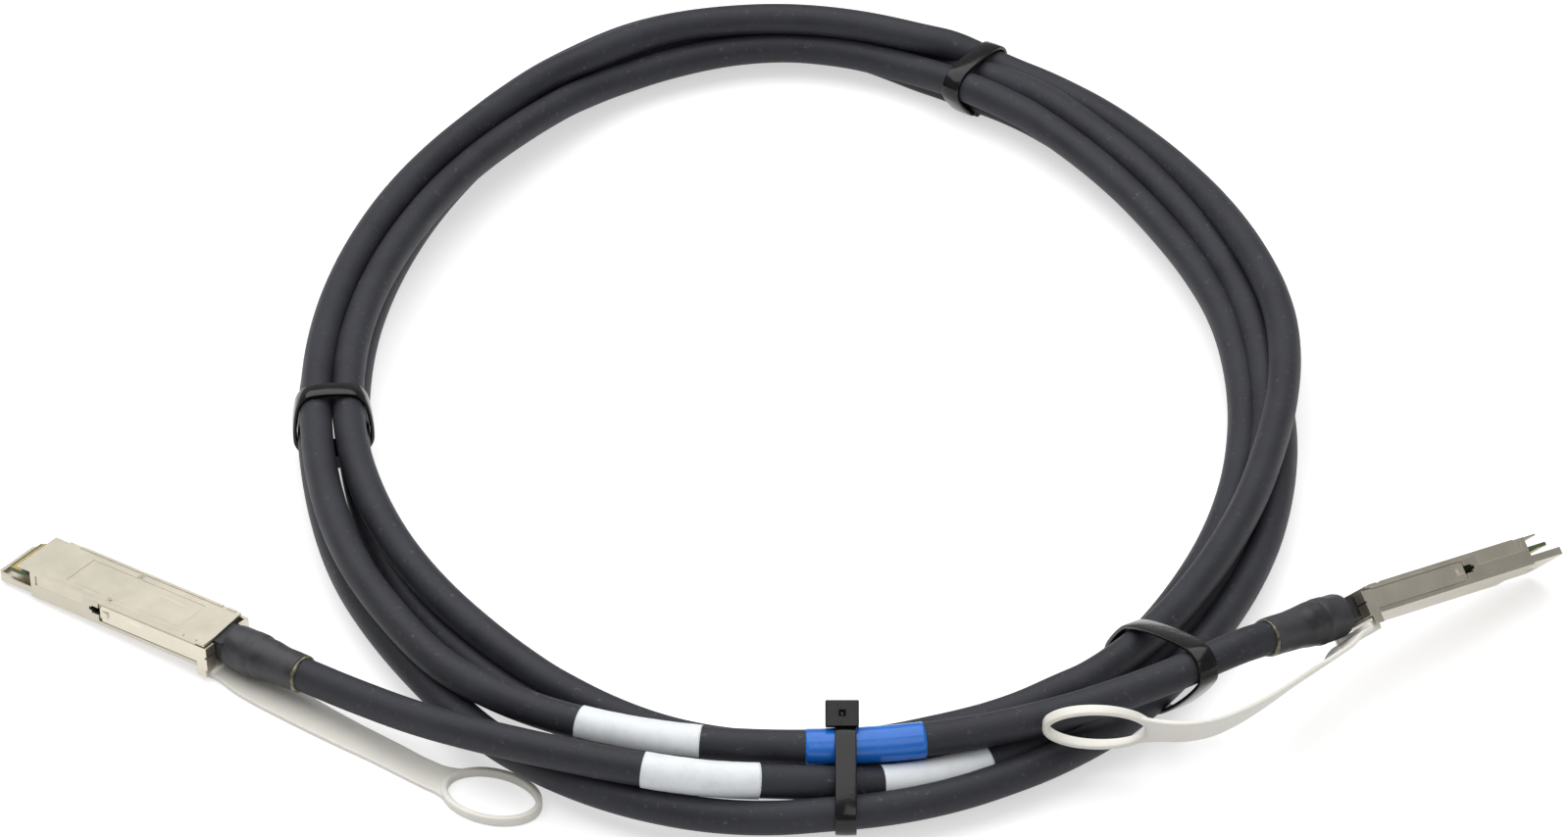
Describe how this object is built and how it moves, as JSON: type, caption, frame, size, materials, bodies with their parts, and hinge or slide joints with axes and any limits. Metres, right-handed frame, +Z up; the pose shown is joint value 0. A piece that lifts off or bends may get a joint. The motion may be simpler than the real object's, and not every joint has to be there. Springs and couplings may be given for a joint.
{
  "type": "direct attach copper cable",
  "caption": "Coiled and tied twin-ended copper network cable with latching metal plugs, heat-shrink boots and looped pull tabs.",
  "frame": {"origin": "on the table, under the middle of the box round the two plugs and their pull tabs", "axes": "+X from plug a towards plug b, +Y from the plugs across the coil, +Z up"},
  "size_m": [0.455, 0.4286, 0.0372],
  "materials": {
    "die_cast": "nickel plated, satin",
    "cover_metal": "nickel plated, satin",
    "slider_metal": "nickel plated, bright",
    "pin_metal": "satin",
    "spring_wire": "bright",
    "card": "solder mask with gold fingers",
    "tab_white": "smooth moulded",
    "black_moulding": "moulded",
    "shrink_sleeve": "matte, creased",
    "set_glue": "glossy",
    "jacket": "matte",
    "tie_black": "gloss",
    "label_white": "satin film",
    "label_blue": "gloss film"
  },
  "bodies": {
    "cable": {"plug_a_lower_shell": "die_cast", "plug_a_top_cover": "cover_metal", "plug_a_paddle_card": "card", "plug_a_cable_clamp": "black_moulding", "plug_a_boot": "shrink_sleeve", "plug_a_glue_ring": "set_glue", "plug_a_return_spring_1": "spring_wire", "plug_a_cover_pin_1": "pin_metal", "plug_a_return_spring_2": "spring_wire", "plug_a_cover_pin_2": "pin_metal", "plug_b_lower_shell": "die_cast", "plug_b_top_cover": "cover_metal", "plug_b_paddle_card": "card", "plug_b_cable_clamp": "black_moulding", "plug_b_boot": "shrink_sleeve", "plug_b_glue_ring": "set_glue", "plug_b_return_spring_1": "spring_wire", "plug_b_cover_pin_1": "pin_metal", "plug_b_return_spring_2": "spring_wire", "plug_b_cover_pin_2": "pin_metal", "label_white_1": "label_white", "label_white_2": "label_white", "label_white_3": "label_white", "label_blue": "label_blue", "tie_left": "tie_black", "tie_far": "tie_black", "tie_right": "tie_black", "tie_front": "tie_black", "coil": "jacket", "lead_a": "jacket", "lead_b": "jacket"},
    "release_a": {"plug_a_release_slider": "slider_metal", "plug_a_pull_tab": "tab_white"},
    "release_b": {"plug_b_release_slider": "slider_metal", "plug_b_pull_tab": "tab_white"}
  },
  "joints": [
    {"name": "release_a_slide", "type": "slide", "parent": "cable", "child": "release_a", "axis": [0.7999, -0.5984, 0.0466], "range_m": [0, 0.0022], "stiffness_N_per_m": 300, "springref_m": -0.003, "deforming": ["plug_a_return_spring_1", "plug_a_return_spring_2"]},
    {"name": "release_b_slide", "type": "slide", "parent": "cable", "child": "release_b", "axis": [-0.7529, -0.6306, 0.1882], "range_m": [0, 0.0022], "stiffness_N_per_m": 300, "springref_m": -0.003, "deforming": ["plug_b_return_spring_1", "plug_b_return_spring_2"]}
  ]
}
